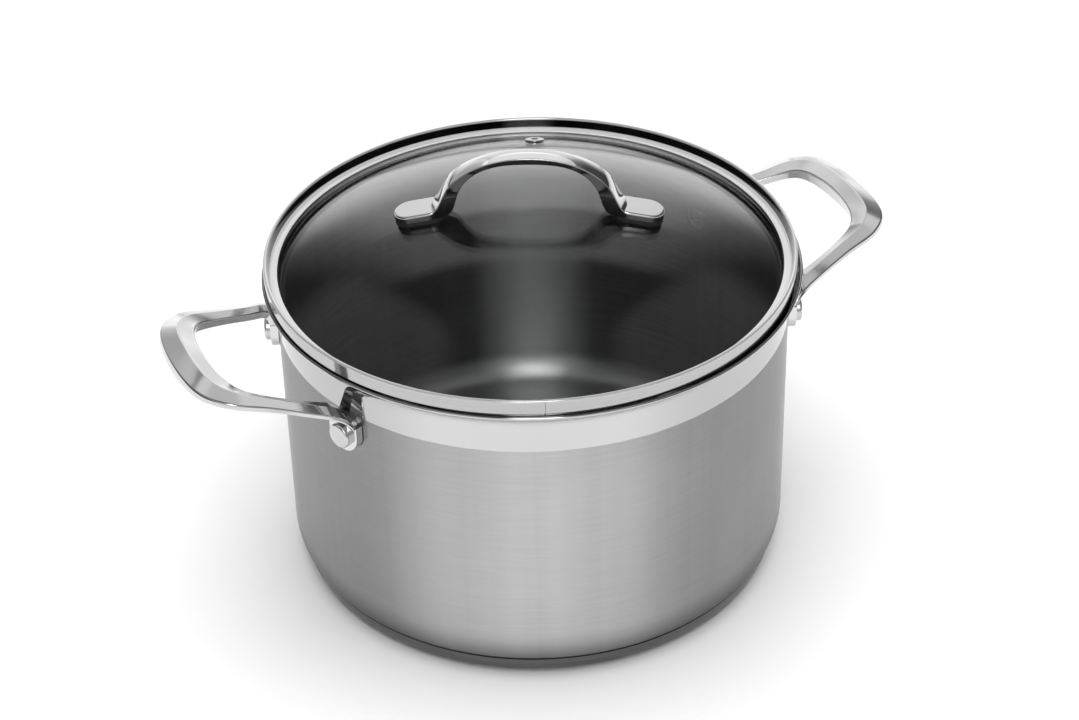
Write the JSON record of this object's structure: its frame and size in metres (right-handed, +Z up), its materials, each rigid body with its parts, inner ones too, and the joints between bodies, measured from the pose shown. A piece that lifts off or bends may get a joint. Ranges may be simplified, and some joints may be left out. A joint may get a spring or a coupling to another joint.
{
  "type": "stock pot",
  "caption": "Deep stainless steel stock pot with a flared lip, encapsulated flat base, riveted loop side handles and a lift-off domed glass lid with an arched handle.",
  "frame": {"origin": "centre of the flat base where the pot stands", "axes": "+Z up out of the mouth, +X towards the right side handle, along the line through both side handles"},
  "size_m": [0.356, 0.2534, 0.2126],
  "materials": {
    "brushed_steel": "fine circumferential brushing below a mirror-polished band at the lip, brushed inside",
    "polished_steel": "mirror polished cast steel",
    "band_steel": "polished rolled strip",
    "rivet_steel": "satin, pressed",
    "base_steel": "fine spun satin",
    "aluminium_core": "plain rolled",
    "lid_glass": "clear tempered glass",
    "black_silicone": "matt moulded silicone"
  },
  "bodies": {
    "pot": {"pot_body": "brushed_steel", "base_core_disc": "aluminium_core", "base_cap": "base_steel", "left_side_handle": "polished_steel", "right_side_handle": "polished_steel", "left_front_rivet": "rivet_steel", "left_rear_rivet": "rivet_steel", "right_front_rivet": "rivet_steel", "right_rear_rivet": "rivet_steel"},
    "lid": {"lid_glass": "lid_glass", "lid_rim_band": "band_steel", "vent_grommet": "band_steel", "lid_handle": "polished_steel", "left_foot_pad": "black_silicone", "right_foot_pad": "black_silicone", "left_lower_seal": "black_silicone", "right_lower_seal": "black_silicone", "left_steel_washer": "rivet_steel", "right_steel_washer": "rivet_steel", "left_lid_handle_screw": "rivet_steel", "right_lid_handle_screw": "rivet_steel"}
  },
  "joints": [
    {"name": "lid_lift", "type": "slide", "parent": "pot", "child": "lid", "axis": [0, 0, 1], "range_m": [0, 0.22]}
  ]
}
